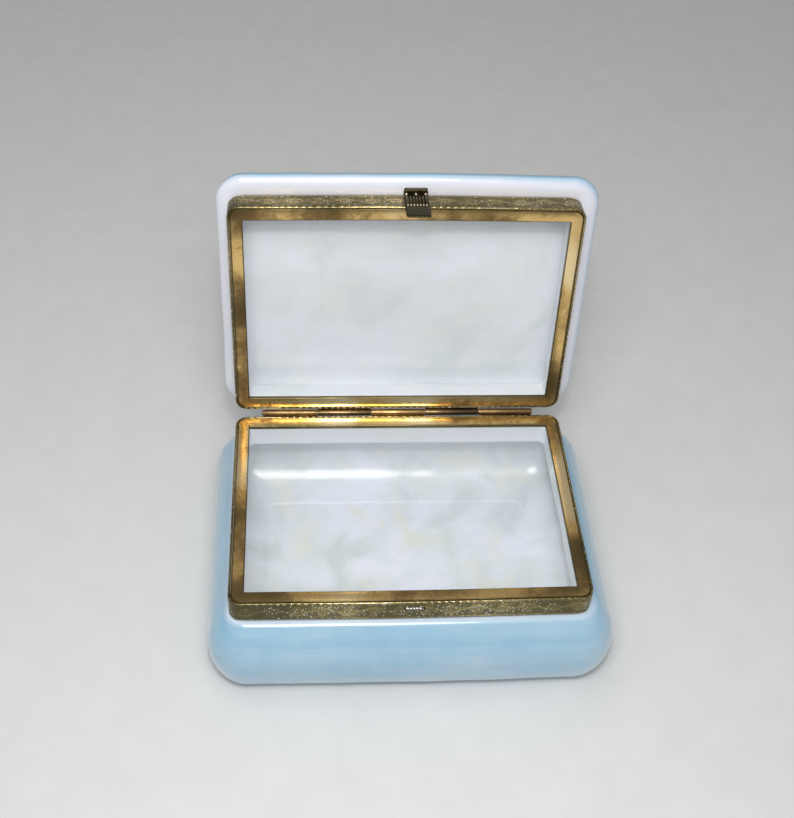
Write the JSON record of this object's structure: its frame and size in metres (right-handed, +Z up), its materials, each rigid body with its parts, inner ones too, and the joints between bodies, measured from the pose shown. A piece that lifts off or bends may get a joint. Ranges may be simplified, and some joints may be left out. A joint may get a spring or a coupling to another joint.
{
  "type": "porcelain trinket box",
  "caption": "Glazed porcelain trinket box: a pillow-shaped bowl and domed lid in embossed brass rim mounts, joined by a back hinge, with a ribbed front clasp.",
  "frame": {"origin": "on the underside of the foot, under the middle of the base's rim mount", "axes": "+X to the right along the hinge, +Y to the back where the hinge is, +Z up"},
  "size_m": [0.1386, 0.1249, 0.1316],
  "materials": {
    "porcelain": "glossy pale blue glaze outside, white pearl glaze inside",
    "plaster": "matt plaster bedding",
    "embossed_brass": "embossed and aged",
    "brass": "worn polish with brown tarnish",
    "pin_brass": "dull",
    "clasp_brass": "dark bronzed",
    "spring_steel": "bright, lightly worn"
  },
  "bodies": {
    "base": {"base_bowl": "porcelain", "base_cement": "plaster", "base_rim_band": "embossed_brass", "base_rim_plate": "brass", "base_hinge_leaf": "brass", "hinge_pin": "pin_brass"},
    "catch": {"catch_spring": "spring_steel"},
    "lid": {"lid_shell": "porcelain", "lid_cement": "plaster", "lid_rim_band": "embossed_brass", "lid_rim_plate": "brass", "lid_hinge_leaf": "brass", "clasp_tab": "clasp_brass"}
  },
  "joints": [
    {"name": "lid_hinge", "type": "hinge", "parent": "base", "child": "lid", "pos_m": [0, 0.04345, 0.04215], "axis": [1, 0, 0], "range_deg": [0, 98]},
    {"name": "catch_press", "type": "slide", "parent": "base", "child": "catch", "axis": [0, 1, 0], "range_m": [0, 0.0006], "stiffness_N_per_m": 800}
  ]
}
